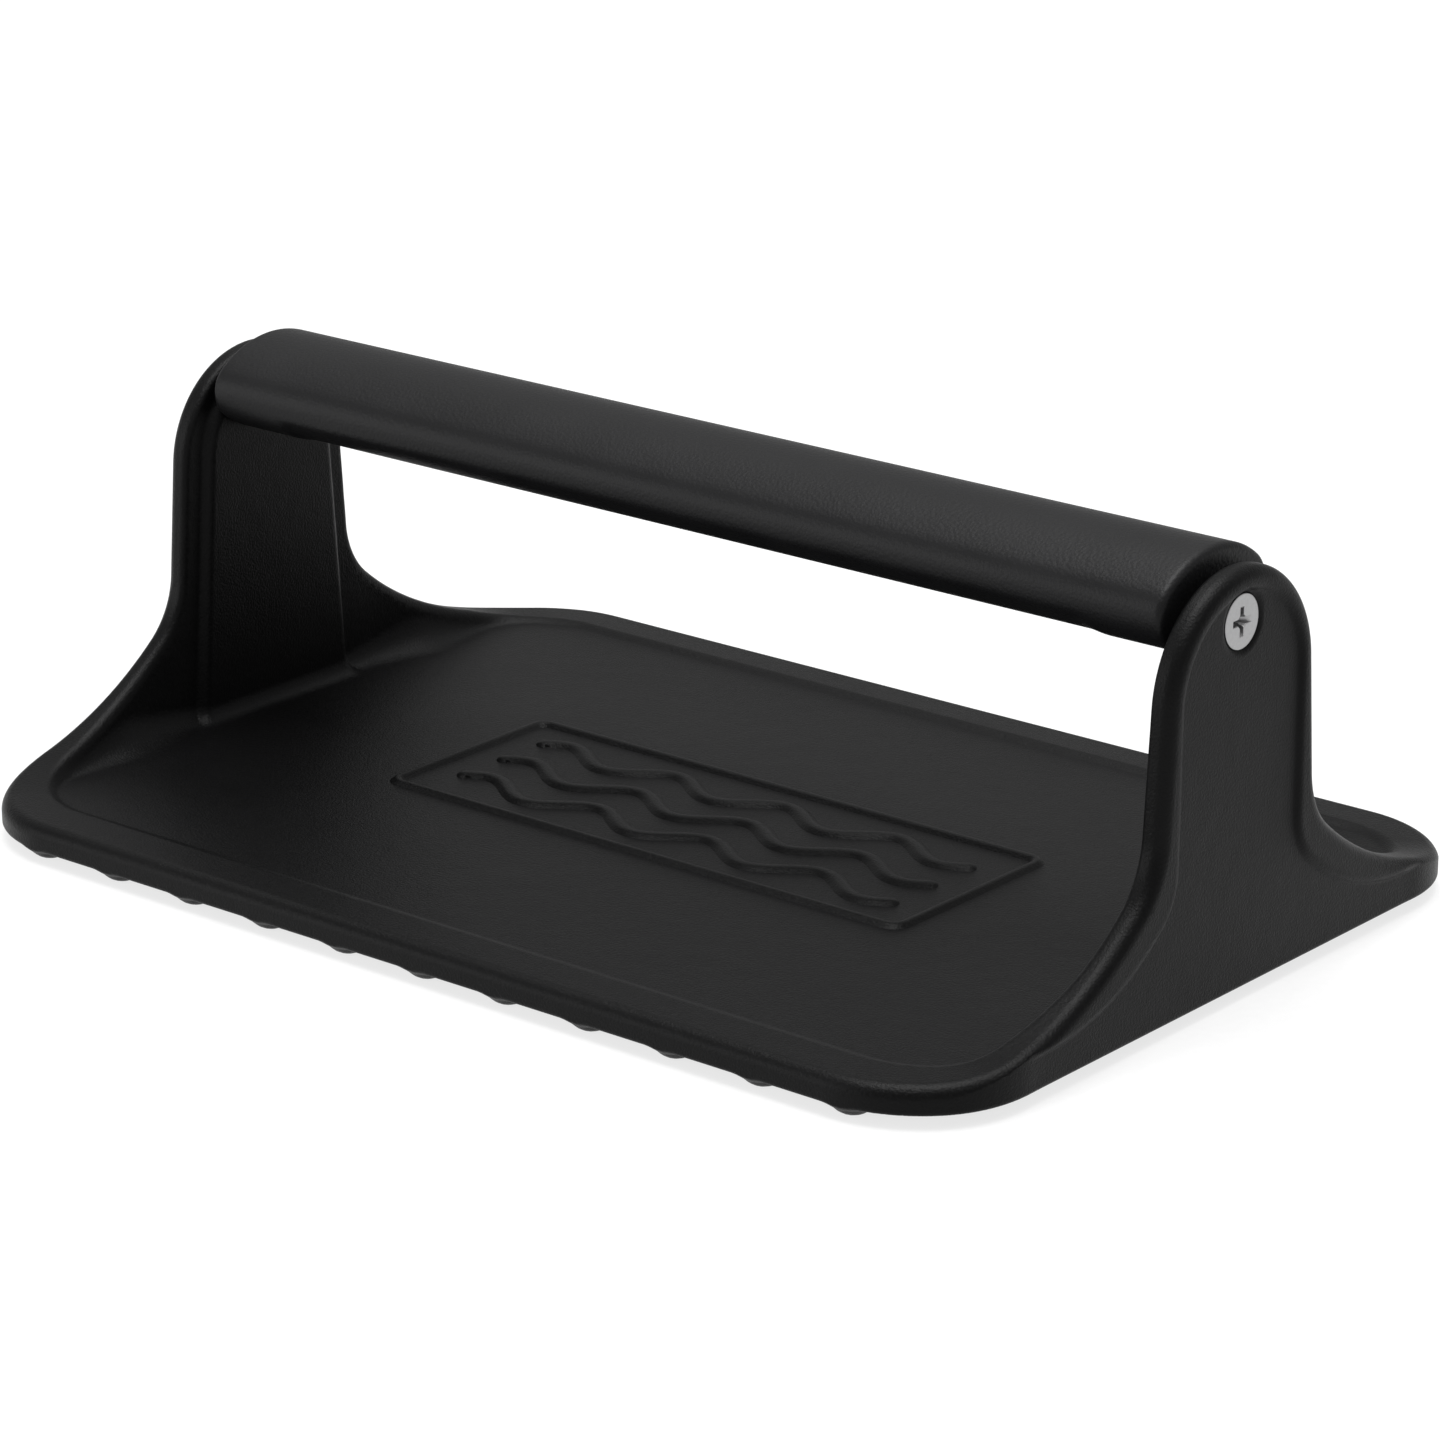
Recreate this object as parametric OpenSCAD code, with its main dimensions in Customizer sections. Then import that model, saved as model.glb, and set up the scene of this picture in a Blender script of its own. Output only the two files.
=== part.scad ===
// Bacon press: a ribbed cast-iron plate with two flared uprights, and an oval handle
// grip held between them by one countersunk screw at each end.
// Millimetres. The origin is the middle of the plane that the press rests on.
// X runs along the handle, Y across it and Z up.

/* [Plate] */
// Length of the plate, along the handle
plate_l = 216; // [170:1:270]
// Width of the plate, across the handle
plate_w = 152; // [125:1:190]
// Corner radius of the plate, seen from above
corner_r = 23; // [19:1:30]
// Height of the plate's flat underside above the rib tips
rib_drop = 2.2; // [1.5:0.1:3]
// Thickness of the plate at its recessed floor
floor_t = 4.2; // [3.2:0.1:6]
// Height of the rim above the recessed floor
rim_rise = 0.8; // [0.4:0.1:2]
// Width of the rim along the two long sides
rim_w = 10.5; // [8:0.5:13]
// Corner radius of the recessed floor
floor_corner_r = 13; // [8:1:18]
// Radius of the plate's upper outer edge
shoulder_r = 2.2; // [1:0.1:2.4]
// Radius of the plate's lower outer edge
lower_edge_r = 1.2; // [0.5:0.1:1.4]

/* [Ribs] */
// Distance from one rib to the next
rib_pitch = 17.4; // [13:0.1:22]
// Radius of a rib's round section
rib_r = 4.5; // [3.5:0.1:5.5]
// Width of the flat land along a rib's tip
rib_land_w = 2.6; // [1:0.1:4]
// Plain margin from a rib's end to the plate's long edge
rib_margin = 0.6; // [0.6:0.1:6]
// Least distance from the plate's end to the middle of the last rib
rib_end_clear = 18; // [12:1:26]

/* [Uprights] */
// Thickness of an upright
wall_t = 4.5; // [3.6:0.1:6]
// Half width of an upright where its round top begins
arch_r = 20; // [17:0.5:22]
// Half width of an upright where its column begins to flare
foot_half_w = 21.3; // [18:0.1:24]
// Height where an upright's column begins to flare
flare_z = 35; // [28:1:38]
// Radius of the tight upper part of the flare
flare_r = 15; // [10:1:20]
// Width of the rolled border round an upright's outer panel
border_w = 6.5; // [4:0.5:8]
// Depth of an upright's outer panel below its rolled border
panel_depth = 0.8; // [0.3:0.1:1.2]
// Half width of the raised pad on an upright's inner face, where its round top begins
pad_half_w = 15.5; // [10:0.5:16]
// Height of the raised pad above an upright's inner face
pad_t = 1.8; // [1:0.1:3]
// Radius of the fillet between an upright and the floor
foot_fillet_r = 4.5; // [3:0.5:6]

/* [Handle grip] */
// Width of the grip's oval section
grip_w = 29.4; // [24:0.1:36]
// Height of the grip's oval section
grip_h = 17.2; // [14:0.1:20.6]
// Radius of the oval's narrow sides
grip_side_r = 5.5; // [4.5:0.1:6.5]
// Height of the oval's middle above the screw axis
grip_rise = 2.7; // [0:0.1:3.4]
// Length of the full-section collar at each end of the grip
collar_l = 14; // [9:1:24]
// Radius of the flatter underside between the collars
relief_r = 19.6; // [17.8:0.1:22]
// Clear height from the rest plane to the screw axis
screw_z = 64.2; // [58:0.1:80]

/* [Screws and inserts] */
// Nominal diameter of the screw thread
thread_d = 5; // [4:0.5:6]
// Overall length of a countersunk screw
screw_l = 16; // [14:1:20]
// Diameter of the screw head
head_d = 9.2; // [8:0.1:11]
// How far the screw head sits below the outer panel
head_sink = 0.3; // [0.1:0.1:0.6]
// Clearance on diameter of the screw hole in an upright
hole_clear = 0.6; // [0.3:0.1:1]
// Outer diameter of the threaded insert
insert_d = 7; // [6.2:0.1:9]
// Length of the threaded insert
insert_l = 12; // [10:0.5:16]
// Depth of the insert's end face below the grip's end face
insert_sink = 0.3; // [0.1:0.1:1]

/* [Emblem] */
// Length of the raised frame on the floor
frame_l = 113; // [90:1:140]
// Width of the raised frame on the floor
frame_w = 42; // [34:1:54]
// Width of the raised frame's bead
bead_w = 2.2; // [1:0.1:3]
// Height of the raised frame and waves above the floor
bead_h = 0.8; // [0.3:0.1:0.8]
// Number of waves in the frame
wave_rows = 3; // [1:1:4]
// Number of half waves along each wave
wave_arcs = 8; // [4:1:8]
// Length of a half wave
wave_step = 12.2; // [8:0.1:13]
// Height of a wave's crest above its middle line
wave_rise = 2.9; // [1:0.1:3.5]
// Width of a wave's raised line
wave_w = 3.2; // [1:0.1:3.6]

/* [Hidden] */
$fn = 96;

lap = 1;                                  // depth by which solids of one piece run into each other
floor_z = rib_drop + floor_t;
rim_z = floor_z + rim_rise;
end_x = plate_l / 2;                      // outer face of an upright
inner_x = end_x - wall_t;                 // inner face of an upright
pad_x = inner_x - pad_t;                  // face of the pad, where the grip butts
panel_x = end_x - panel_depth;            // recessed outer panel, where the screw sinks in
column_h = 18;                            // height of the column between flare and round top
arch_z = flare_z + column_h;
arch_top = arch_z + arch_r;
pad_z = arch_top - border_w / 2 - pad_half_w;
pad_foot_half_w = pad_half_w + (foot_half_w - arch_r) / column_h * (pad_z - floor_z);

// The flare turns from upright to this slope on its tight arc, and the long arc takes over
flare_a = 50;
long_arc_fn = 240;

// The outer panel's own flare: lower, a little tighter, and ending just above the rim
panel_drop = border_w / 2;
panel_tighter = 2;
panel_low_z = rim_z + 0.7;

// Rib section: a round bar cut flat at the rest plane
rib_axis_z = sqrt(rib_r * rib_r - rib_land_w * rib_land_w / 4);
rib_root_w = sqrt(rib_r * rib_r - pow(rib_axis_z - rib_drop, 2));
rib_half_l = plate_w / 2 - rib_margin - rib_root_w;
rib_side_n = floor((end_x - rib_end_clear) / rib_pitch);

// Oval section of the grip, from four arcs
grip_z = screw_z + grip_rise;
side_y = grip_w / 2 - grip_side_r;
flat_gain = grip_h / 2 - grip_side_r;
crown_drop = (side_y * side_y - flat_gain * flat_gain) / (2 * flat_gain);
crown_r = grip_h / 2 + crown_drop;
crown_y = crown_r * side_y / sqrt(side_y * side_y + crown_drop * crown_drop);
grip_end_r = 1.5;                         // rounding of the grip's end edges
relief_skin = 0.3;                        // how much lower the full section is than the relief
relief_z = relief_r - grip_h / 2 + relief_skin;

// Screw: a 90 degree countersunk head that seats in the upright's countersink
head_x = panel_x - head_sink;
head_h = (head_d - thread_d) / 2;
hole_d = thread_d + hole_clear;
sink_d = head_d + 2 * head_sink;
bore_end_gap = 2;                         // free bore beyond the screw's tip
slot_w = 1.1;
slot_l = 4.6;
slot_deep = 1.7;

// Insert: a groove round its middle locks it in the moulded grip
insert_x = pad_x - insert_sink - insert_l;
groove_l = 2.4;
groove_depth = 0.5;

wave_gap = frame_w / (wave_rows + 1);
wave_cuts = 8;                            // straight pieces that make up a half wave

// Draws the children on +X as they are, and once more in mirror image on -X
module both_ends() {
    children();
    mirror([1, 0, 0]) children();
}

// Turns a flat outline drawn in (Y, Z) into a solid of length l along X, starting at x
module along_x(x, l) {
    translate([x, 0, 0]) rotate([90, 0, 90]) linear_extrude(l) children();
}

// A cylinder along X, starting at x, on the screw axis
module on_screw_axis(x, l, d1, d2) {
    translate([x, 0, screw_z]) rotate([0, 90, 0]) cylinder(h = l, d1 = d1, d2 = d2);
}

// Flat rounded rectangle, centred
module rounded_rect(l, w, r) {
    square([l - 2 * r, w], center = true);
    square([l, w - 2 * r], center = true);
    for (sx = [-1, 1], sy = [-1, 1])
        translate([sx * (l / 2 - r), sy * (w / 2 - r)]) circle(r);
}

// Half of the plate's section, out to half_w, with both outer edges rounded
module edge_section(half_w) {
    translate([0, rib_drop]) square([half_w - shoulder_r, rim_z - rib_drop]);
    translate([0, rib_drop + lower_edge_r])
        square([half_w, rim_z - rib_drop - lower_edge_r - shoulder_r]);
    translate([half_w - shoulder_r, rim_z - shoulder_r]) circle(shoulder_r);
    translate([half_w - lower_edge_r, rib_drop + lower_edge_r]) circle(lower_edge_r);
}

// The full section, both halves
module slab_section(half_w) {
    edge_section(half_w);
    mirror([1, 0]) edge_section(half_w);
}

// The plate before its floor is recessed
module slab() {
    straight_l = plate_l - 2 * corner_r;
    straight_w = plate_w - 2 * corner_r;
    along_x(-straight_l / 2, straight_l) slab_section(plate_w / 2);
    rotate([0, 0, 90]) along_x(-straight_w / 2, straight_w) slab_section(plate_l / 2);
    for (turn = [0, 180]) rotate([0, 0, turn]) {
        translate([straight_l / 2, straight_w / 2, 0])
            rotate_extrude(angle = 90) edge_section(corner_r);
        translate([-straight_l / 2, straight_w / 2, 0]) rotate([0, 0, 90])
            rotate_extrude(angle = 90) edge_section(corner_r);
    }
}

// Bell outline of an upright: a round top, a column, a tight flare and a long flat one
module bell(half_w, foot_w, top_z, foot_z, tight_r, low_z, base_z) {
    join_y = foot_w + tight_r * (1 - cos(flare_a));
    join_z = foot_z - tight_r * sin(flare_a);
    long_r = (join_z - low_z) / (1 - sin(flare_a));
    low_y = join_y + long_r * cos(flare_a);
    translate([0, top_z]) circle(half_w);
    polygon([[-foot_w, foot_z], [foot_w, foot_z], [half_w, top_z], [-half_w, top_z]]);
    difference() {
        polygon([[-join_y, join_z], [join_y, join_z], [foot_w, foot_z], [-foot_w, foot_z]]);
        for (side = [-1, 1]) translate([side * (foot_w + tight_r), foot_z]) circle(tight_r);
    }
    difference() {
        polygon([[-low_y, base_z], [low_y, base_z], [low_y, low_z], [join_y, join_z],
                 [-join_y, join_z], [-low_y, low_z]]);
        for (side = [-1, 1]) translate([side * low_y, low_z + long_r]) circle(long_r, $fn = long_arc_fn);
    }
}

// One upright, trimmed to the plate's outline where its flare runs into the corners
module upright() {
    intersection() {
        along_x(inner_x, wall_t)
            bell(arch_r, foot_half_w, arch_z, flare_z, flare_r, rim_z, rib_drop + lower_edge_r);
        linear_extrude(arch_top + lap) rounded_rect(plate_l, plate_w, corner_r);
    }
    along_x(pad_x, pad_t + lap) {
        translate([0, pad_z]) circle(pad_half_w);
        polygon([[-pad_foot_half_w, floor_z - lap], [pad_foot_half_w, floor_z - lap],
                 [pad_half_w, pad_z], [-pad_half_w, pad_z]]);
    }
    fillet_l = plate_w - 2 * rim_w - 2 * floor_corner_r;
    rotate([0, 0, 90]) along_x(-fillet_l / 2, fillet_l) difference() {
        translate([-inner_x - lap, floor_z - lap])
            square([foot_fillet_r + lap, foot_fillet_r + lap]);
        translate([-inner_x + foot_fillet_r, floor_z + foot_fillet_r]) circle(foot_fillet_r);
    }
}

// The recessed panel on an upright's outer face
module end_panel() {
    along_x(panel_x, panel_depth + lap)
        bell(arch_r - border_w, foot_half_w - border_w, arch_z, flare_z - panel_drop,
             flare_r - panel_tighter, panel_low_z, rib_drop + lower_edge_r + panel_drop);
}

module screw_hole() {
    on_screw_axis(pad_x - lap, wall_t + pad_t + 2 * lap, hole_d, hole_d);
    on_screw_axis(panel_x - sink_d / 2, sink_d / 2, 0, sink_d);
    on_screw_axis(panel_x, panel_depth + lap, sink_d, sink_d);
}

// A round-ended rib across the underside
module rib(x) {
    intersection() {
        translate([x, 0, rib_axis_z]) {
            rotate([90, 0, 0]) cylinder(h = 2 * rib_half_l, r = rib_r, center = true);
            for (side = [-1, 1]) translate([0, side * rib_half_l, 0]) sphere(rib_r);
        }
        translate([x - 2 * rib_r, -plate_w / 2, 0]) cube([4 * rib_r, plate_w, rib_drop + lap]);
    }
}

// Points along one side of a wave's line, at a distance from its middle line
function wave_side(distance) = [
    for (i = [0:wave_arcs * wave_cuts])
        let (turn = 180 * i / wave_cuts,
             slope = atan(wave_rise * PI / wave_step * cos(turn)))
        [(i / wave_cuts - wave_arcs / 2) * wave_step - distance * sin(slope),
         wave_rise * sin(turn) + distance * cos(slope)]
];

// A raised line that waves to one side and the other in turn
module wave() {
    near_side = wave_side(-wave_w / 2);
    far_side = wave_side(wave_w / 2);
    last = len(far_side) - 1;
    translate([0, 0, floor_z - lap]) linear_extrude(lap + bead_h)
        polygon(concat(near_side, [for (i = [last:-1:0]) far_side[i]]));
}

// The raised frame in the middle of the floor, with its waves
module emblem() {
    frame_r = 2 * bead_w;
    translate([0, 0, floor_z - lap]) linear_extrude(lap + bead_h) difference() {
        rounded_rect(frame_l, frame_w, frame_r);
        rounded_rect(frame_l - 2 * bead_w, frame_w - 2 * bead_w, frame_r - bead_w);
    }
    for (row = [0:wave_rows - 1])
        translate([0, (row - (wave_rows - 1) / 2) * wave_gap, 0]) wave();
}

// One piece of iron: plate, uprights, ribs and emblem
module press_casting() {
    color([0.16, 0.16, 0.17]) {
        difference() {
            union() {
                difference() {
                    slab();
                    translate([0, 0, floor_z]) linear_extrude(rim_rise + lap)
                        rounded_rect(2 * inner_x, plate_w - 2 * rim_w, floor_corner_r);
                }
                both_ends() upright();
            }
            both_ends() {
                end_panel();
                screw_hole();
            }
        }
        for (i = [-rib_side_n:rib_side_n]) rib(i * rib_pitch);
        emblem();
    }
}

// Oval section of the grip, about its own middle
module grip_section() {
    for (side = [-1, 1]) translate([side * side_y, 0]) circle(grip_side_r);
    intersection() {
        translate([0, -crown_drop]) circle(crown_r);
        translate([0, crown_drop]) circle(crown_r);
        square([2 * crown_y, grip_h + lap], center = true);
    }
}

module handle_grip() {
    full_l = 2 * pad_x;
    color([0.09, 0.09, 0.1]) difference() {
        intersection() {
            translate([0, 0, grip_z]) along_x(-pad_x, full_l) grip_section();
            translate([0, grip_w, grip_z]) rotate([90, 0, 0]) linear_extrude(2 * grip_w)
                rounded_rect(full_l, grip_h + lap, grip_end_r);
        }
        translate([0, 0, grip_z]) along_x(-pad_x + collar_l, full_l - 2 * collar_l) difference() {
            translate([-grip_w, -grip_h]) square([2 * grip_w, grip_h]);
            translate([0, relief_z]) circle(relief_r);
        }
        both_ends() {
            insert_body();
            on_screw_axis(pad_x - insert_sink - lap, insert_sink + 2 * lap, insert_d, insert_d);
            on_screw_axis(head_x - screw_l - bore_end_gap, screw_l, thread_d, thread_d);
        }
    }
}

// Outside of an insert, which is also the pocket that the grip is moulded to
module insert_body() {
    difference() {
        on_screw_axis(insert_x, insert_l, insert_d, insert_d);
        difference() {
            on_screw_axis(insert_x + (insert_l - groove_l) / 2, groove_l,
                          insert_d + lap, insert_d + lap);
            on_screw_axis(insert_x, insert_l, insert_d - 2 * groove_depth,
                          insert_d - 2 * groove_depth);
        }
    }
}

module insert() {
    color([0.78, 0.62, 0.3]) difference() {
        insert_body();
        on_screw_axis(insert_x - lap, insert_l + 2 * lap, thread_d, thread_d);
    }
}

module screw() {
    color([0.75, 0.76, 0.78]) difference() {
        union() {
            on_screw_axis(head_x - head_h, head_h, thread_d, head_d);
            on_screw_axis(head_x - screw_l, screw_l - head_h / 2, thread_d, thread_d);
        }
        translate([head_x - slot_deep, 0, screw_z]) for (turn = [0, 90]) rotate([turn, 0, 0])
            translate([0, -slot_l / 2, -slot_w / 2]) cube([slot_deep + lap, slot_l, slot_w]);
    }
}

module insert_right() { insert(); }
module insert_left() { mirror([1, 0, 0]) insert(); }
module screw_right() { screw(); }
module screw_left() { mirror([1, 0, 0]) screw(); }

press_casting();
handle_grip();
insert_left();
insert_right();
screw_left();
screw_right();
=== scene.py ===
# %% [markdown]
# # A cast-iron bacon press
#
# A cook lays this press on bacon or a burger to hold it flat on the griddle. It is a heavy ribbed
# plate with a flared upright at each end, poured as one piece of iron, and a plastic grip between
# the uprights that stays cool in the hand. This lesson loads the engineer's model as a fixed frame
# and builds the visible surfaces round it, so every size that two pieces share is read from there.

import math

import bpy
import numpy as np
from mathutils import Matrix, Vector


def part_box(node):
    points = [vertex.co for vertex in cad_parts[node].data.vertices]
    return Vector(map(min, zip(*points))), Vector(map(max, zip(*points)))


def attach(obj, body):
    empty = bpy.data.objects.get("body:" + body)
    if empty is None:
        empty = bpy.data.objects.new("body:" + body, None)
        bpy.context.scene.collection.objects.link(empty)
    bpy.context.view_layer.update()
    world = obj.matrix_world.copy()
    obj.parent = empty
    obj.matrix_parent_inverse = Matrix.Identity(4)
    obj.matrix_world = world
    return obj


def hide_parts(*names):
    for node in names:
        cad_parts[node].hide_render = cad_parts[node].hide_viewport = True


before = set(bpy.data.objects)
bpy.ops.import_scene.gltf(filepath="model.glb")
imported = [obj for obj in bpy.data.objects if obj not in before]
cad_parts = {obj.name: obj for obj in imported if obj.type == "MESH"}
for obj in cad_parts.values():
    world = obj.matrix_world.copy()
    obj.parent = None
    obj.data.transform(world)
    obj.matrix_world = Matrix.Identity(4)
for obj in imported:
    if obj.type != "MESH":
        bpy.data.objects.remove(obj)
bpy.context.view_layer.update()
print("nodes in the frame:", sorted(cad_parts))

# %% [markdown]
# ## Sizes, in millimetres
#
# Blender works in metres here, but a foundry drawing is in millimetres, so the shapes are worked
# out in millimetres and scaled once, when a mesh is made. Overall sizes come from the boxes of
# the fixed nodes. The rest, such as the roundings, belong to the casting's skin alone.

# %% Read the driving sizes from the frame
MM = 0.001


def box_mm(node):
    """Lowest and highest corner of a fixed node, in millimetres."""
    low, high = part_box(node)
    return np.array(low) / MM, np.array(high) / MM


half_l, half_w, arch_top = box_mm("press_casting")[1]
grip_low, grip_high = box_mm("handle_grip")
screw_low, screw_high = box_mm("screw_right")
insert_low, insert_high = box_mm("insert_right")

pad_x = grip_high[0]
grip_z = (grip_low[2] + grip_high[2]) / 2
screw_z = (screw_low[2] + screw_high[2]) / 2
print("plate half length and width, height:", half_l, half_w, arch_top)

# %% Sizes of the casting's skin
corner_r = 23.0
bottom_z = 2.2
floor_z = 6.4
rim_z = 7.2
rim_w = 10.5
wall_t = 4.5
pad_t = half_l - wall_t - pad_x
pad_half_w = 15.5
pad_below_top = 3.3
print("the pads that the grip butts on stand", round(pad_t, 2), "mm proud of the uprights")

# %% [markdown]
# ## Distance fields
#
# A sand casting has no sharp edges: every corner is rolled and every inside corner is filleted,
# because sand crumbles and hot iron tears at a sharp one. Bevelling such a shape edge by edge is
# slow, so the casting is written as a distance field: a function that is negative inside the
# iron, positive outside, and counts millimetres. Two fields meet or join with a round between
# them by one short formula each, whatever their shapes.

# %% Rounded meeting and joining of two fields
def meet(a, b, r):
    """The space inside both fields, with its outer corner rounded to radius r."""
    far = np.hypot(np.maximum(a + r, 0), np.maximum(b + r, 0))
    return far - r + np.minimum(np.maximum(a + r, b + r), 0)


def join(a, b, r):
    """The space inside either field, with a fillet of radius r in the corner between them."""
    return -meet(-a, -b, r)


def ease(value, start, end):
    """0 before start, 1 after end, and a smooth rise between them."""
    t = np.clip((value - start) / (end - start), 0, 1)
    return t * t * (3 - 2 * t)


# %% [markdown]
# ## From a field to a mesh
#
# The field is sampled on grid lines. Each small cell that the surface passes through gets one
# vertex, at the mean of the points where the cell's edges cross it, and each crossed edge
# gets one quad. Grid lines are close together where the shape is fine and far apart on the flats,
# which keeps the mesh light. The vertices then slide down the field's slope onto the exact
# surface, and the slope is also the exact normal, so the shading shows no facets.

# %% Grid lines that are close only where they need to be
def lines_from(start, *stretches):
    """Grid lines from start: each stretch says where it ends, and how far apart its lines are."""
    lines = [start]
    for end, gap in stretches:
        count = max(1, round((end - lines[-1]) / gap))
        lines += list(np.linspace(lines[-1], end, count + 1)[1:])
    return np.array(lines)


def mirrored(lines):
    """The same lines on both sides of 0."""
    return np.concatenate([-lines[:0:-1], lines])


# %% One vertex for each cell that the surface crosses
def cell_points(grid, values, cells):
    """Mean of the crossings on the twelve edges of each cell."""
    total, hits = np.zeros((len(cells), 3)), np.zeros(len(cells))
    for axis in range(3):
        along = np.eye(3, dtype=int)[axis]
        for corner in np.ndindex(2, 2, 2):
            if corner[axis]:
                continue
            near = cells + corner
            far = near + along
            v_near, v_far = values[tuple(near.T)], values[tuple(far.T)]
            crossed = (v_near < 0) != (v_far < 0)
            share = np.where(crossed, v_near / np.where(crossed, v_near - v_far, 1), 0)
            for k in range(3):
                p_near, p_far = grid[k][near[:, k]], grid[k][far[:, k]]
                total[:, k] += crossed * (p_near + (p_far - p_near) * share)
            hits += crossed
    return total / hits[:, None]


# %% One quad for each grid line that the surface crosses
def cell_quads(inside, index):
    """Quads round every crossed grid edge, wound so that they face out of the solid."""
    quads = []
    for axis in range(3):
        u, v = (axis + 1) % 3, (axis + 2) % 3
        ends = np.diff(inside.astype(np.int8), axis=axis)
        edges = np.argwhere(ends != 0)
        clear = (edges[:, u] > 0) & (edges[:, v] > 0)
        clear &= (edges[:, u] < index.shape[u]) & (edges[:, v] < index.shape[v])
        edges = edges[clear]
        step_u, step_v = np.eye(3, dtype=int)[u], np.eye(3, dtype=int)[v]
        ring = [edges - step_u - step_v, edges - step_v, edges, edges - step_u]
        quad = np.stack([index[tuple(c.T)] for c in ring], axis=1)
        leaving = ends[tuple(edges.T)] < 0
        quads.append(np.where(leaving[:, None], quad, quad[:, ::-1]))
    return np.concatenate(quads)


# %% Slide the vertices onto the surface
tiny = 1e-9
settle_rounds = 3
flattest_slope = 0.05


def slope_of(field, points, reach=0.01):
    """The field's slope at each point."""
    slope = np.empty_like(points)
    for k in range(3):
        shift = np.eye(3)[k] * reach
        slope[:, k] = (field(*(points + shift).T) - field(*(points - shift).T)) / (2 * reach)
    return slope


def settled(field, points, limit):
    """Points moved to the surface along the slope, never further than limit at a time."""
    for _ in range(settle_rounds):
        slope = slope_of(field, points)
        steep = np.maximum((slope * slope).sum(1), flattest_slope)
        step = field(*points.T)[:, None] * slope / steep[:, None]
        size = np.linalg.norm(step, axis=1, keepdims=True)
        points = points - step * np.minimum(1, limit / np.maximum(size, tiny))
    return points


# %% The whole way from a field to a Blender object
def mesh_object(name, points, faces, normals=None):
    """A smooth-shaded mesh object, from points in millimetres."""
    mesh = bpy.data.meshes.new(name)
    mesh.from_pydata((np.asarray(points) * MM).tolist(), [], faces)
    mesh.shade_smooth()
    mesh.update()
    if normals is not None:
        mesh.normals_split_custom_set_from_vertices(normals.tolist())
    piece = bpy.data.objects.new(name, mesh)
    bpy.context.scene.collection.objects.link(piece)
    print(name, "has", len(mesh.vertices), "vertices and", len(mesh.polygons), "faces")
    return piece


def skinned(name, field, grid, values, limit=0.2):
    """The mesh object of a sampled field."""
    inside = values < 0
    shape = np.array(values.shape) - 1
    filled = np.zeros(shape, np.int8)
    for i, j, k in np.ndindex(2, 2, 2):
        filled += inside[i:shape[0] + i, j:shape[1] + j, k:shape[2] + k]
    cells = np.argwhere((filled > 0) & (filled < 8))
    index = np.full(shape, -1)
    index[tuple(cells.T)] = np.arange(len(cells))
    points = settled(field, cell_points(grid, values, cells), limit)
    slope = slope_of(field, points)
    normals = slope / np.maximum(np.linalg.norm(slope, axis=1, keepdims=True), tiny)
    return mesh_object(name, points, cell_quads(inside, index).tolist(), normals)


# %% [markdown]
# ## The casting: where a point lies in the plan
#
# The rim and the two uprights are one ribbon of iron that runs round the plate. It helps to
# unroll it: `depth` is how far a point lies inside the plate's outline, and `along` is how far
# round the outline it is from the middle of an end. An upright is then a bell drawn on the
# unrolled ribbon, and its tail flows round the corner into the long sides' low rim by itself.

# %% Depth inside the outline, and distance along it
def round_the_plate(x, y):
    """Depth inside the plate's outline and distance along it from the middle of an end."""
    past_x, past_y = x - (half_l - corner_r), y - (half_w - corner_r)
    outside = np.hypot(np.maximum(past_x, 0), np.maximum(past_y, 0))
    depth = corner_r - outside - np.minimum(np.maximum(past_x, past_y), 0)
    turn = np.arctan2(np.maximum(past_y, 0), np.maximum(past_x, tiny))
    on_end = (past_y <= 0) & (past_x > past_y)
    on_side = (past_x <= 0) & ~on_end
    straight_w = half_w - corner_r
    on_corner = straight_w + corner_r * turn
    quarter = straight_w + corner_r * math.pi / 2
    along = np.where(on_end, y, np.where(on_side, quarter - past_x, on_corner))
    return depth, along


# %% [markdown]
# ## The casting: the bell outline of an upright
#
# The outline is a round top, a straight column that leans in a little, a tight arc that starts
# the flare, and a long arc that lies down on the rim. Each touches the next smoothly, and the
# field picks the one that a point faces.

# %% A bell outline and its field
join_turn = math.radians(50)


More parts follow.
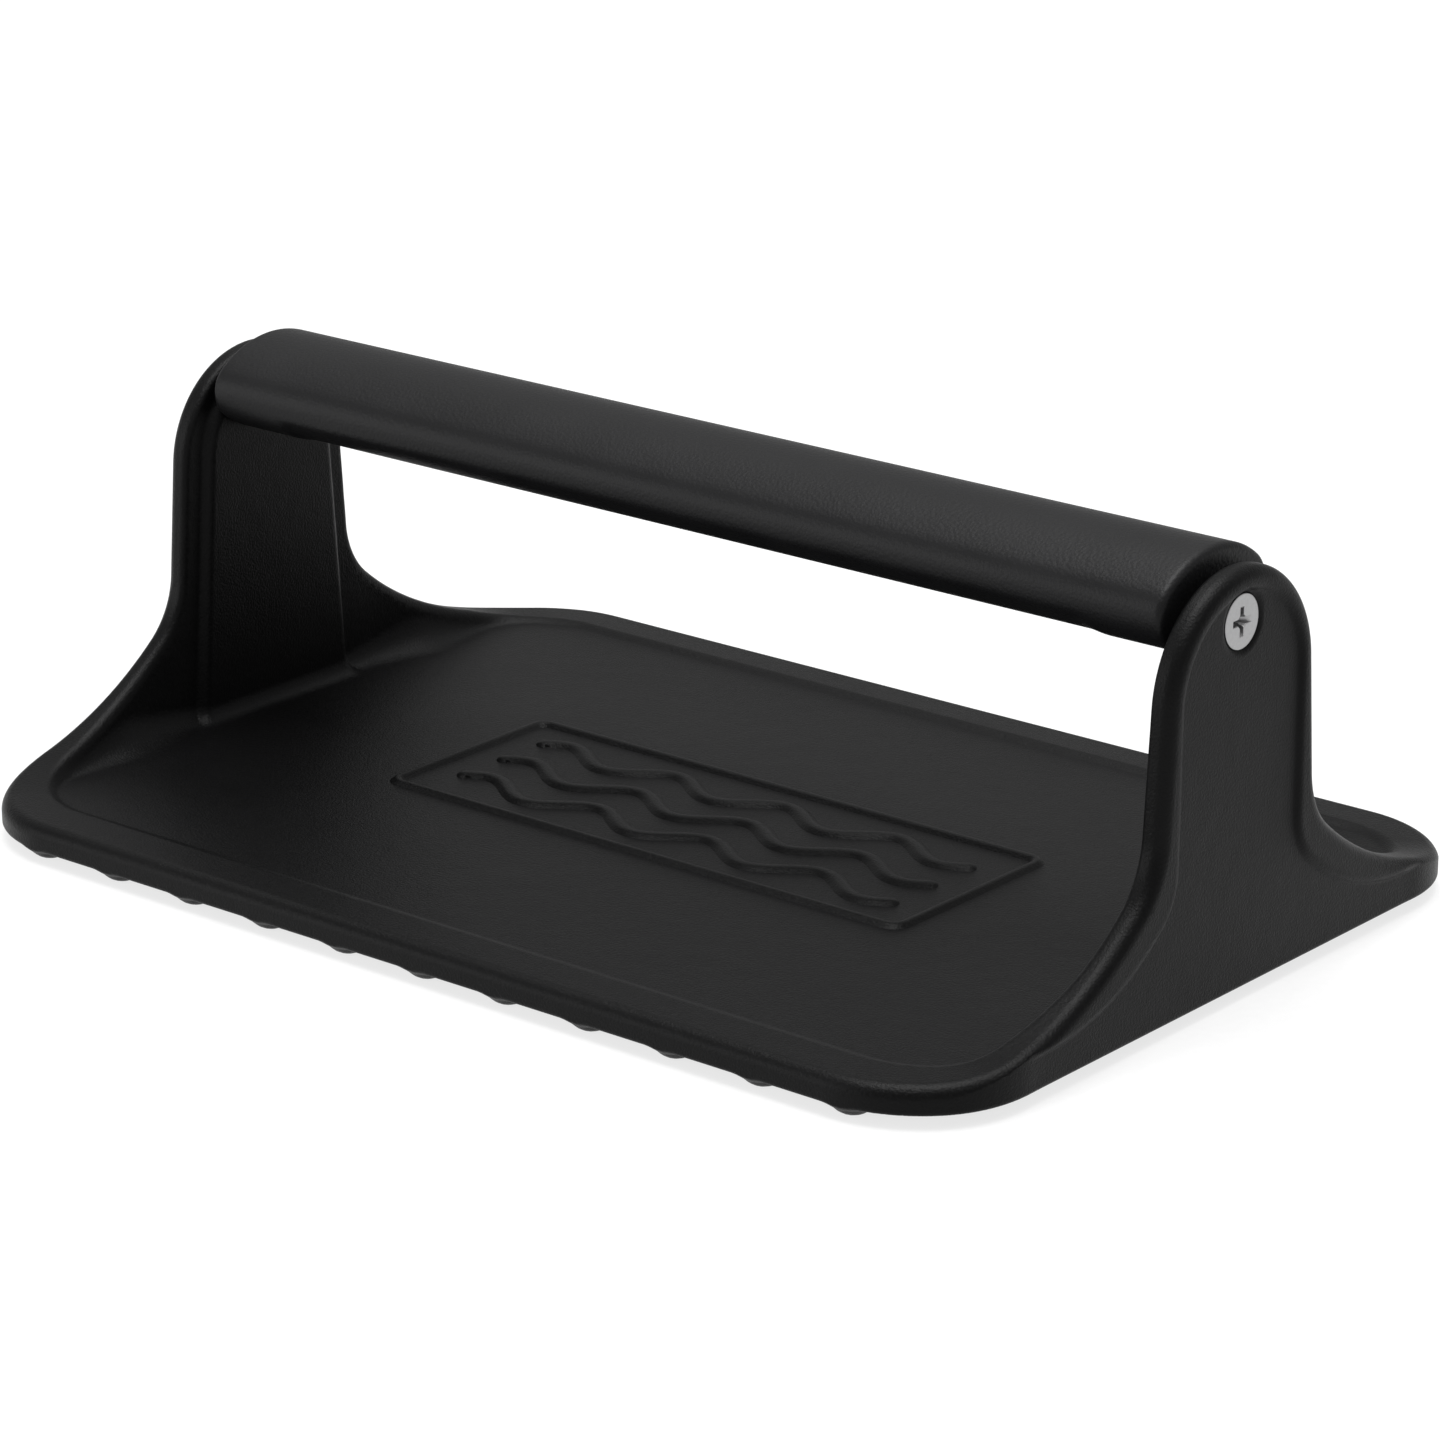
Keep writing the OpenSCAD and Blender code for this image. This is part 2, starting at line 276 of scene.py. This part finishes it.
class Bell:
    """A bell outline on the unrolled ribbon. The long arc follows the tight one at join_turn."""

    def __init__(self, top_r, top_z, lean, flare_z, flare_r, low_z):
        self.top_r, self.top_z, self.lean = top_r, top_z, math.radians(lean)
        self.flare_z, self.flare_r, self.low_z = flare_z, flare_r, low_z
        reach = top_r + flare_r + (top_z - flare_z) * math.sin(self.lean)
        self.flare_y = reach / math.cos(self.lean)
        join_z = flare_z - flare_r * math.sin(join_turn)
        self.long_r = (join_z - low_z) / (1 - math.sin(join_turn))
        self.long_y = self.flare_y + (self.long_r - flare_r) * math.cos(join_turn)
        self.long_z = low_z + self.long_r

    def past(self, along, z, turn):
        """Whether a point lies beyond this turn of the tight arc."""
        return (along - self.flare_y) * math.sin(turn) > (z - self.flare_z) * math.cos(turn)

    def field(self, along, z):
        """Distance to the outline."""
        from_top = np.hypot(along, z - self.top_z) - self.top_r
        column = along * math.cos(self.lean) + (z - self.top_z) * math.sin(self.lean) - self.top_r
        down = along * math.sin(self.lean) - (z - self.top_z) * math.cos(self.lean)
        tight = self.flare_r - np.hypot(along - self.flare_y, z - self.flare_z)
        long = self.long_r - np.hypot(along - self.long_y, z - self.long_z)
        tail = np.where(along > self.long_y, z - self.low_z, long)
        on_long = self.past(along, z, join_turn)
        upper = np.where(down < 0, from_top, column)
        lower = np.where(on_long, tail, tight)
        return np.where(self.past(along, z, self.lean) | on_long, lower, upper)

    def height(self, along):
        """Height of the outline where it flares."""
        off = np.clip(self.long_y - along, 0, self.long_r)
        return self.long_z - np.sqrt(self.long_r ** 2 - off ** 2)


# %% The outline of an upright, and of the panel inside its border
arch_r = 20.0
panel_r = 15.8
panel_rise = 0.7

outline = Bell(top_r=arch_r, top_z=arch_top - arch_r, lean=4.1,
               flare_z=35.0, flare_r=15.0, low_z=rim_z)
panel = Bell(top_r=panel_r, top_z=outline.top_z, lean=0.3,
             flare_z=28.0, flare_r=12.0, low_z=rim_z + panel_rise)
print("the flare lies down on the rim", round(outline.long_y, 1), "mm from the middle of the end")

# %% [markdown]
# ## The casting: its outer skin
#
# Seen from outside, an upright has a thick border with a rolled outer edge, and a panel sunk a
# little below it, with a crisp crease where they meet. The panel's own bell flares lower than the
# outline does, so the border is widest at the foot. Towards the corners the roll eases to the
# plate's own, and the panel comes up flush.

# %% Rolled border and sunk panel
roll_upright = 2.4
roll_plate = 2.3
roll_eases = (22, 56)
panel_sink = 0.85
sink_eases = (50, 70)
lip_r = 1.6
crease_r = 0.35


def outer_skin(edge, z, depth, along):
    """Field of the ribbon's outside: edge is the distance to its outline."""
    roll = roll_upright + (roll_plate - roll_upright) * ease(along, *roll_eases)
    sink = panel_sink * (1 - ease(along, *sink_eases))
    rolled = meet(edge, -depth, roll)
    lip = meet(rolled, -panel.field(along, z), lip_r)
    return np.maximum(join(lip, sink - depth, crease_r * sink / panel_sink), rolled)


# %% [markdown]
# ## The casting: the whole field
#
# Inside the ribbon lie the floor, the fillets at the feet of the uprights and the pads that the
# grip butts on. Underneath are round ribs with a ground flat along each. The screw holes are cut
# last. A fillet can't be taller than the wall it climbs, so it shrinks where the flare gets low.
# Several sizes ease from one value to another along the ribbon: a pair of numbers says between
# which distances from the middle of an end.

# %% Ribs and screw holes
rib_pitch = 17.4
rib_r = 4.5
rib_z = 4.3
rib_side_count = 5
rib_end = half_w - 4.6
rib_top_z = bottom_z + 1.2
sink_d = 10.3
hole_d = 5.6


def rib_field(x, y, z):
    """Round-ended bars across the underside."""
    nearest = rib_pitch * np.clip(np.round(x / rib_pitch), -rib_side_count, rib_side_count)
    off_end = np.maximum(np.abs(y) - rib_end, 0)
    bar = np.sqrt((x - nearest) ** 2 + off_end ** 2 + (z - rib_z) ** 2) - rib_r
    return np.maximum(bar, z - rib_top_z)


def screw_hole(y, z, depth):
    """A clear hole with a 90 degree countersink from the sunk panel."""
    from_axis = np.hypot(y, z - screw_z)
    cone = (from_axis - sink_d / 2 + np.maximum(depth - panel_sink, 0)) / math.sqrt(2)
    return np.minimum(cone, from_axis - hole_d / 2)


# %% Roundings inside the ribbon
inner_roll, inner_roll_more, inner_eases = 1.2, 0.8, (20, 40)
pad_roll, pad_fillet = 1.5, 1.1
rim_fillet = 0.9
foot_fillet, flare_fillet, foot_eases = 3.0, 6.5, (14, 42)
full_climb = 1.6 * flare_fillet


def ribbon_field(z, depth, along, edge, thick):
    """The rim and the uprights, with the pads and the floor joined to them."""
    ribbon = meet(edge, depth - thick, inner_roll + inner_roll_more * ease(along, *inner_eases))
    up = z - (arch_top - pad_below_top - pad_half_w)
    side = along * math.cos(outline.lean) + up * math.sin(outline.lean)
    pad_outline = np.where(up > 0, np.hypot(along, up), side) - pad_half_w
    pad = meet(pad_outline, depth - thick - pad_t, pad_roll)
    climb = outline.height(along) - floor_z
    foot = foot_fillet + (flare_fillet - foot_fillet) * ease(along, *foot_eases)
    fillet = rim_fillet + (foot - rim_fillet) * ease(climb, 0, full_climb)
    return join(join(ribbon, pad, pad_fillet), z - floor_z, fillet)


# %% The casting's field
thick_eases = (26, 86)
rim_fall, fall_eases = 0.3, (60, 80)
under_roll = 0.8
rib_fillet = 1.0
ground_edge = 0.3
hole_edge = 0.45


def casting(x, y, z):
    """Distance to the surface of the one-piece casting."""
    depth, along = round_the_plate(np.abs(x), np.abs(y))
    thick = wall_t + (rim_w - wall_t) * ease(along, *thick_eases)
    fall = rim_fall * ease(along, *fall_eases) * np.clip(1 - depth / thick, 0, 1)
    edge = outline.field(along, z) + fall
    body = ribbon_field(z, depth, along, edge, thick)
    body = np.maximum(body, outer_skin(edge, z, depth, along))
    body = meet(body, bottom_z - z, under_roll)
    body = np.maximum(join(body, rib_field(x, y, z), rib_fillet), -depth)
    body = meet(body, -z, ground_edge)
    return meet(body, -screw_hole(y, z, depth), hole_edge)


# %% Sample a quarter of the casting and mirror it
outer_gap = 0.42
spare = 0.9
xs = lines_from(0.0, (half_l - 11, rib_pitch / 15), (half_l + spare, outer_gap))
ys = lines_from(0.0, (22, 0.55), (60, 1.6), (half_w + spare, outer_gap))
zs = lines_from(-0.6, (9.6, 0.3), (24, 0.55), (50, 0.9), (arch_top + spare, 0.45))
quarter = casting(*np.meshgrid(xs, ys, zs, indexing="ij"))
half = np.concatenate([quarter[:0:-1], quarter])
whole = np.concatenate([half[:, :0:-1], half], axis=1)
press_iron = skinned("press_iron", casting, (mirrored(xs), mirrored(ys), zs), whole)

# %% [markdown]
# ## The emblem on the floor
#
# A raised frame with three waves, like rashers in a pan, marks the middle of the floor. Each line
# is a low bead: a small section swept along a path. Its feet reach just under the floor, so that
# it looks cast in one with it.

# %% Sweep a low bead along a path
bead_h = 0.8
bead_cuts = 11
bead_foot = 0.35
bead_below = 0.06


def bead_strip(path, width, closed):
    """Points and faces of a low rounded bead along a path on the floor."""
    path = np.asarray(path, float)
    if closed:
        ahead, behind = np.roll(path, -1, axis=0), np.roll(path, 1, axis=0)
    else:
        ahead = np.vstack([path[1:], 2 * path[-1] - path[-2]])
        behind = np.vstack([2 * path[0] - path[1], path[:-1]])
    way = ahead - behind
    way /= np.linalg.norm(way, axis=1, keepdims=True)
    across = np.stack([-way[:, 1], way[:, 0]], axis=1)
    run = np.concatenate([[0], np.cumsum(np.linalg.norm(np.diff(path, axis=0), axis=1))])
    from_end = np.minimum(run, run[-1] - run) / (width / 2)
    full = np.ones(len(path)) if closed else np.sqrt(1 - np.clip(1 - from_end, 0, 1) ** 2)
    rows = []
    for s in np.linspace(-1, 1, bead_cuts):
        rise = bead_h * (1 - abs(s) ** 3) ** 1.2
        out = width / 2 + bead_foot * abs(s) ** 6
        rows.append(np.column_stack([path - (across * full[:, None]) * s * out,
                                     floor_z + rise * full - bead_below]))
    count, n = len(path), len(rows)
    points = np.concatenate(rows)
    faces = []
    for r in range(n - 1):
        for i in range(count if closed else count - 1):
            j = (i + 1) % count
            faces.append((r * count + i, r * count + j, (r + 1) * count + j, (r + 1) * count + i))
    return points, faces


# %% The paths of the frame and of a wave
def frame_path(length, width, r, per_corner=8):
    """A rounded rectangle, counter-clockwise."""
    points = []
    for k, (sx, sy) in enumerate([(1, 1), (-1, 1), (-1, -1), (1, -1)]):
        for a in np.linspace(0, math.pi / 2, per_corner):
            turn = a + k * math.pi / 2
            points.append((sx * (length / 2 - r) + r * math.cos(turn),
                           sy * (width / 2 - r) + r * math.sin(turn)))
    return points


def wave_path(middle_y, half_waves=8, step=12.2, rise=2.9, cuts=14, tip_share=0.14):
    """A sine wave along X, with more points at its tips, where the bead rounds off."""
    tip = tip_share * (1 - np.cos(np.linspace(0, math.pi / 2, 6)))
    t = np.linspace(0, half_waves, half_waves * cuts + 1)
    t = np.unique(np.concatenate([t, tip, half_waves - tip]).round(4))
    return np.column_stack([(t - half_waves / 2) * step, middle_y + rise * np.sin(math.pi * t)])


# %% Lay the beads on the floor
frame_l, frame_w = 113.0, 42.0
frame_corner_r = 2.4
bead_w = 2.2
wave_w = 3.2
frame_line = frame_path(frame_l - bead_w, frame_w - bead_w, frame_corner_r)

emblem_points, emblem_faces = [], []
strips = [bead_strip(frame_line, bead_w, True)]
strips += [bead_strip(wave_path(row * frame_w / 4), wave_w, False) for row in (-1, 0, 1)]
for points, faces in strips:
    start = len(emblem_points)
    emblem_points += points.tolist()
    emblem_faces += [tuple(start + i for i in face) for face in faces]
press_emblem = mesh_object("press_emblem", emblem_points, emblem_faces)

# %% [markdown]
# ## The handle grip
#
# The grip is a bar of moulded phenolic with an oval section, wide enough to lean on. Between two
# full collars its underside is a little flatter, which leaves a fine crease along each side. It is
# a loft: the same ring of points at many stations, each ring fitted to that station's section.

# %% The oval section as a field
side_r = 5.5
half_grip_w = (grip_high[1] - grip_low[1]) / 2
half_grip_h = (grip_high[2] - grip_low[2]) / 2
side_y = half_grip_w - side_r
gain = half_grip_h - side_r
drop = (side_y ** 2 - gain ** 2) / (2 * gain)
crown_r = half_grip_h + drop
belly_r = 19.6
belly_lift = 0.3
belly_z = belly_r - half_grip_h + belly_lift
belly_roll = 0.25
well_inside = -9.0


def oval(y, z):
    """Four arcs that touch smoothly: two narrow sides, a crown and a belly."""
    y, z = np.abs(y), np.abs(z)
    crowned = np.hypot(y, z + drop) - crown_r
    sided = np.hypot(y - side_y, z) - side_r
    return np.where((y - side_y) * drop > z * side_y, sided, crowned)


def grip_section(y, z, flatter):
    """The oval, with the flatter underside mixed in by a share from 0 to 1."""
    full = oval(y, z)
    belly = np.where(z < 0, np.hypot(y, z - belly_z) - belly_r, well_inside)
    return full + flatter * (meet(full, belly, belly_roll) - full)


# %% Fit a ring to the section at one station
ring_count = 144
ring_turn = np.linspace(0, 2 * math.pi, ring_count, endpoint=False)
ring_cos, ring_sin = np.cos(ring_turn), np.sin(ring_turn)
halvings = 40


def grip_ring(x, inset, flatter):
    """Points round the grip at x, that far inside the section, found by halving."""
    low, high = np.zeros(ring_count), np.full(ring_count, half_grip_w + 1)
    for _ in range(halvings):
        middle = (low + high) / 2
        out = grip_section(middle * ring_cos, middle * ring_sin, flatter) > -inset
        high, low = np.where(out, middle, high), np.where(out, low, middle)
    return np.column_stack([np.full(ring_count, x), low * ring_cos, low * ring_sin + grip_z])


def axis_ring(x, radius):
    """Points round the screw axis at x."""
    return np.column_stack([np.full(ring_count, x), radius * ring_cos, radius * ring_sin + screw_z])


# %% The grip's stations, from the middle out to a collar and its rounded end
collar_l = 14.0
run_out = 4.0
end_round = 1.3
belly_end = pad_x - collar_l - run_out

half_rings = []
for x in np.linspace(0, belly_end, 40):
    half_rings.append(grip_ring(x, 0, 1))
for share in np.linspace(0, 1, 11)[1:]:
    half_rings.append(grip_ring(belly_end + share * run_out, 0, 1 - ease(share, 0, 1)))
for x in np.linspace(pad_x - collar_l, pad_x - end_round, 9)[1:]:
    half_rings.append(grip_ring(x, 0, 0))
for a in np.linspace(0, math.pi / 2, 9)[1:]:
    half_rings.append(grip_ring(pad_x - end_round * (1 - math.sin(a)),
                                end_round * (1 - math.cos(a)), 0))

# %% The end face and the insert's pocket, then the other half
pocket_r = (insert_high[1] - insert_low[1]) / 2
mouth_in, mouth_less = 0.25, 0.1
pocket_point_r = 0.01

last = half_rings[-1]
mouth = axis_ring(pad_x, pocket_r)
for share in (0.35, 0.7):
    half_rings.append(last + share * (mouth - last))
half_rings += [mouth, axis_ring(pad_x - mouth_in, pocket_r - mouth_less),
               axis_ring(insert_low[0], pocket_r), axis_ring(insert_low[0], pocket_point_r)]
rings = [ring * (-1, 1, 1) for ring in half_rings[:0:-1]] + half_rings


# %% Loft the grip
def lofted(name, rings):
    """A mesh object through rings of equal count, in order along +X."""
    points, n = np.concatenate(rings), len(rings[0])
    faces = [(r * n + i, r * n + (i + 1) % n, (r + 1) * n + (i + 1) % n, (r + 1) * n + i)
             for r in range(len(rings) - 1) for i in range(n)]
    return mesh_object(name, points, faces)


grip_bar = lofted("grip_bar", rings)

# %% [markdown]
# ## The screws and their inserts
#
# A machine screw sinks flush into each upright and bites in a brass insert moulded into the
# grip. The screw is a field again: the cross recess is four narrowing slots that round out in
# the middle, and the thread is a helix that raises and lowers the shank's radius. The inserts are
# hidden in the grip, so the fixed model's own are kept.

# %% The head's cross recess
head_x = screw_high[0]
recess_deep = 2.0


def cross_recess(y, up, from_axis, down):
    """Four slots that narrow with depth, and the hub that rounds out their middle."""
    slot_w = 0.52 - 0.10 * down
    slot_l = 2.45 - 0.75 * down
    arm_y = np.maximum(np.abs(up) - slot_w, np.abs(y) - slot_l)
    arm_z = np.maximum(np.abs(y) - slot_w, np.abs(up) - slot_l)
    hub = from_axis - 1.15 + 0.35 * down
    return np.maximum(np.minimum(np.minimum(arm_y, arm_z), hub), down - recess_deep)


# %% The whole screw
screw_tip_x = screw_low[0]
head_r = (screw_high[1] - screw_low[1]) / 2 - 0.05
head_edge = 0.25
head_roll = 0.12
recess_roll = 0.08
thread_r = 2.5
crest_less = 0.02
thread_deep = 0.42
thread_pitch = 0.8
thread_starts = (2.6, 3.4)
point_l, point_slope = 0.9, 0.8
shank_ease = 0.8


def screw_field(x, y, z):
    """Countersunk head with a cross recess, and a threaded shank."""
    up = z - screw_z
    from_axis = np.hypot(y, up)
    down = head_x - x
    cone = (from_axis - head_r + np.maximum(down - head_edge, 0)) / math.sqrt(2)
    turn = np.arctan2(up, y) / (2 * math.pi)
    wave = np.abs(((x / thread_pitch + turn) % 1) * 2 - 1)
    ridge = thread_r - crest_less - thread_deep * (1 - wave) * ease(down, *thread_starts)
    point = ridge - np.maximum(point_l - (x - screw_tip_x), 0) * point_slope
    shank = np.maximum((from_axis - point) * shank_ease, screw_tip_x - x)
    solid = meet(np.minimum(cone, shank), -down, head_roll)
    return meet(solid, -cross_recess(y, up, from_axis, down), recess_roll)


# %% Sample the screw
around = 0.3
screw_x = lines_from(screw_tip_x - around, (head_x - 2.6, 0.13), (head_x + around, 0.1))
screw_y = mirrored(lines_from(0.0, (2.7, 0.1), (head_r + around, 0.14)))
screw_grid = (screw_x, screw_y, screw_y + screw_z)
values = screw_field(*np.meshgrid(*screw_grid, indexing="ij"))
handle_screw_right = skinned("handle_screw_right", screw_field, screw_grid, values, 0.05)

# %% [markdown]
# The left screw is the same screw, turned half round the vertical axis. A mirror image would
# have a left-hand thread, which nobody stocks.

# %% Turn a copy of the right screw to the left
turned = handle_screw_right.data.copy()
turned.transform(Matrix.Rotation(math.pi, 4, "Z"))
handle_screw_left = bpy.data.objects.new("handle_screw_left", turned)
bpy.context.scene.collection.objects.link(handle_screw_left)
print("the left screw spans", round(-head_x, 2), "to", round(-screw_tip_x, 2), "mm")

# %% [markdown]
# ## Shader maths as Python
#
# A procedural material is arithmetic on noises. Writing it as node wiring hides the sum, so one
# small class wraps a socket and lets Python's own operators add the Math nodes.

# %% A socket that can be added, multiplied and subtracted
class Socket:
    """One output of a shader node."""

    def __init__(self, finish, socket):
        self.finish, self.socket = finish, socket

    def maths(self, operation, first, second):
        return self.finish.add("ShaderNodeMath", {"operation": operation}, {0: first, 1: second})

    def __add__(self, other):
        return self.maths("ADD", self, other)

    def __radd__(self, other):
        return self.maths("ADD", other, self)

    def __sub__(self, other):
        return self.maths("SUBTRACT", self, other)

    def __rsub__(self, other):
        return self.maths("SUBTRACT", other, self)

    def __mul__(self, other):
        return self.maths("MULTIPLY", self, other)

    def __rmul__(self, other):
        return self.maths("MULTIPLY", other, self)


# %% A material, and the one method that adds its nodes
class Finish:
    """A node material with one Principled shader."""

    def __init__(self, name, **constants):
        self.slot = name
        self.material = bpy.data.materials.new(name)
        self.material.use_nodes = True
        self.tree = self.material.node_tree
        self.tree.nodes.clear()
        self.shader = self.tree.nodes.new("ShaderNodeBsdfPrincipled")
        output = self.tree.nodes.new("ShaderNodeOutputMaterial")
        self.tree.links.new(self.shader.outputs[0], output.inputs[0])
        for socket, value in constants.items():
            self.shader.inputs[socket.replace("_", " ")].default_value = value
        self.place = self.add("ShaderNodeTexCoord", output="Object")

    def put(self, socket, value):
        """A number, a colour or another node's output, into a socket."""
        if isinstance(value, Socket):
            self.tree.links.new(value.socket, socket)
        else:
            socket.default_value = value

    def add(self, kind, settings=None, values=None, output=0):
        """A node of a kind: its settings are set first, then the values or links of its sockets."""
        node = self.tree.nodes.new(kind)
        for name, value in (settings or {}).items():
            setattr(node, name, value)
        for name, value in (values or {}).items():
            self.put(node.inputs[name], value)
        return Socket(self, node.outputs[output])

    def noise(self, size_mm, detail=2.0, rough=0.5):
        """Soft noise whose lumps are about size_mm across."""
        return self.add("ShaderNodeTexNoise", {}, {
            "Vector": self.place, "Scale": 1 / (size_mm * MM), "Detail": detail,
            "Roughness": rough})

    def between(self, share, first, second):
        """A colour between two, by a share from 0 to 1."""
        return self.add("ShaderNodeMix", {"data_type": "RGBA"}, {
            0: share, 6: (*first, 1), 7: (*second, 1)}, output=2)

    def relief(self, height, depth_mm):
        """A normal from a height, where a height of 1 stands depth_mm proud."""
        return self.add("ShaderNodeBump", {}, {
            "Height": height, "Distance": depth_mm * MM, "Strength": 1.0})

    def wear(self, **links):
        """Feed the shader's own sockets."""
        for name, value in links.items():
            self.put(self.shader.inputs[name.replace("_", " ")], value)
        print(self.slot, "has", len(self.tree.nodes), "nodes")


# %% [markdown]
# ## Black cast iron
#
# The iron is coated satin black over the skin that the sand left: fine grain all over, slow
# ripples, and slightly different gloss from place to place. The grain and the ripples are only
# about a tenth of a millimetre deep, so they belong in a bump. Everything deeper is in the mesh.

# %% The casting's finish
iron = Finish("black_cast_iron", Specular_IOR_Level=0.095)
grain = iron.noise(0.42, detail=3.0, rough=0.6)
ripple = iron.noise(5.0, detail=2.0)
patch = iron.noise(26.0, detail=3.0)
iron.wear(
    Base_Color=iron.between(grain * 0.6 + patch * 0.4,
                            (0.0002, 0.0002, 0.0002), (0.0040, 0.0040, 0.0042)),
    Roughness=0.28 + 0.09 * patch + 0.13 * grain,
    Normal=iron.relief(grain * 1.1 + ripple * 0.8, 0.10))

# %% [markdown]
# ## Moulded black plastic
#
# The grip's mould was etched with a fine leather grain: small rounded cells with thin valleys
# between them, which stop a greasy hand from slipping. A Voronoi texture gives the cells, and a
# noise pushes its coordinates about by a fraction of a millimetre, so no two cells are alike.

# %% The grip's finish
cell_mm = 0.6
wander_mm = 1.6
wander_share = 0.0006
plastic = Finish("black_grip_plastic", Specular_IOR_Level=0.16)
wander = plastic.add("ShaderNodeTexNoise", {}, {
    "Vector": plastic.place, "Scale": 1 / (wander_mm * MM), "Detail": 2.0}, output="Color")
warped = plastic.add("ShaderNodeMix", {"data_type": "VECTOR", "factor_mode": "UNIFORM"}, {
    0: wander_share, 4: plastic.place, 5: wander}, output=1)
cells = plastic.add("ShaderNodeTexVoronoi", {"feature": "SMOOTH_F1"}, {
    "Vector": warped, "Scale": 1 / (cell_mm * MM), "Smoothness": 0.35})
fine = plastic.noise(0.25, detail=1.0)
shade = plastic.noise(14.0, detail=2.0)
plastic.wear(
    Base_Color=plastic.between(shade, (0.003, 0.003, 0.0033), (0.007, 0.007, 0.0075)),
    Roughness=0.42 + 0.10 * shade,
    Normal=plastic.relief(1 - cells + fine * 0.15, 0.045))

# %% [markdown]
# ## Bright screw steel and brass
#
# The screws are zinc-plated and bright, with specks where the plating is a little darker or
# duller. The inserts are plain turned brass, slightly tarnished.

# %% The metals' finishes
steel = Finish("screw_steel", Metallic=1.0)
speck = steel.noise(0.5, detail=3.0)
steel.wear(
    Base_Color=steel.between(speck, (0.30, 0.30, 0.305), (0.42, 0.42, 0.42)),
    Roughness=0.30 + 0.16 * speck,
    Normal=steel.relief(speck, 0.01))

brass = Finish("insert_brass", Metallic=1.0)
tarnish = brass.noise(1.5, detail=3.0)
brass.wear(
    Base_Color=brass.between(tarnish, (0.50, 0.34, 0.12), (0.72, 0.54, 0.24)),
    Roughness=0.24 + 0.2 * tarnish,
    Normal=brass.relief(tarnish, 0.02))

# %% [markdown]
# ## Put the pieces on the frame
#
# Each visible piece rides on the model's one body, stands for the fixed node that it details and
# names the finish it takes.

# %% Ride, replace and paint
for piece, finish, nodes in (
        (press_iron, iron, ["press_casting"]),
        (press_emblem, iron, []),
        (grip_bar, plastic, ["handle_grip"]),
        (handle_screw_right, steel, ["screw_right"]),
        (handle_screw_left, steel, ["screw_left"])):
    piece.data.materials.append(finish.material)
    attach(piece, "root")
    if nodes:
        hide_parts(*nodes)
    print(piece.name, "wears", finish.slot, "and stands for", nodes or "no fixed node")

for side in ("left", "right"):
    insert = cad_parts["insert_" + side]
    insert.data.materials.clear()
    insert.data.materials.append(brass.material)

# %% [markdown]
# ## Floor, light and camera
#
# The floor is a sheet of white paper that glows a little, so that it stays pale to its edges.
# Satin black shows nothing but what it reflects, so the lights are what models the shape: a large
# soft one overhead, a smaller and stronger key just below it, and a low fill from the left of the
# camera, on a pale even world. The camera looks from the front right, a little from above.

# %% The floor
paper = Finish("studio_paper", Roughness=0.9,
               Emission_Color=(1, 1, 1, 1), Emission_Strength=0.76)
tooth = paper.noise(2.0)
paper.wear(Base_Color=paper.between(tooth, (0.17, 0.17, 0.17), (0.21, 0.21, 0.21)))
bpy.ops.mesh.primitive_plane_add(size=12.0, location=(0, 0, 0))
studio_floor = bpy.context.object
studio_floor.name = "studio_floor"
studio_floor.data.materials.append(paper.material)


# %% The lights
def soft_light(name, power, size, place, aim=(0, 0, 0.03)):
    """A square area light that points at aim."""
    lamp = bpy.data.lights.new(name, "AREA")
    lamp.energy, lamp.size = power, size
    holder = bpy.data.objects.new(name, lamp)
    holder.location = place
    holder.rotation_euler = (Vector(aim) - Vector(place)).to_track_quat("-Z", "Y").to_euler()
    bpy.context.scene.collection.objects.link(holder)
    print(name, "light:", power, "watts,", size, "metres across")


soft_light("overhead", 20.0, 2.6, (0.0, 0.1, 1.7))
soft_light("fill", 10.0, 1.0, (-0.9, -1.2, 0.25))
soft_light("key", 28.0, 1.0, (0.0, 0.0, 1.6))

# %% The world
world_strength = 0.47
world = bpy.data.worlds.new("studio")
world.use_nodes = True
backdrop = world.node_tree.nodes["Background"]
backdrop.inputs["Color"].default_value = (1, 1, 1, 1)
backdrop.inputs["Strength"].default_value = world_strength
bpy.context.scene.view_settings.view_transform = "Standard"
bpy.context.scene.world = world

# %% The camera
camera_azimuth, camera_elevation = math.radians(39.45), math.radians(19.11)
camera_away = 0.9227
camera_aim = Vector((-0.0036, 0.0069, 0.0219))
camera_lens, camera_sensor = 135.1, 36

back = Vector((math.sin(camera_azimuth) * math.cos(camera_elevation),
               -math.cos(camera_azimuth) * math.cos(camera_elevation),
               math.sin(camera_elevation)))
lens = bpy.data.cameras.new("camera")
lens.lens, lens.sensor_width = camera_lens, camera_sensor
camera = bpy.data.objects.new("camera", lens)
camera.location = camera_aim + camera_away * back
camera.rotation_euler = back.to_track_quat("Z", "Y").to_euler()
bpy.context.scene.collection.objects.link(camera)
bpy.context.scene.camera = camera
print("camera at", [round(v, 3) for v in camera.location])
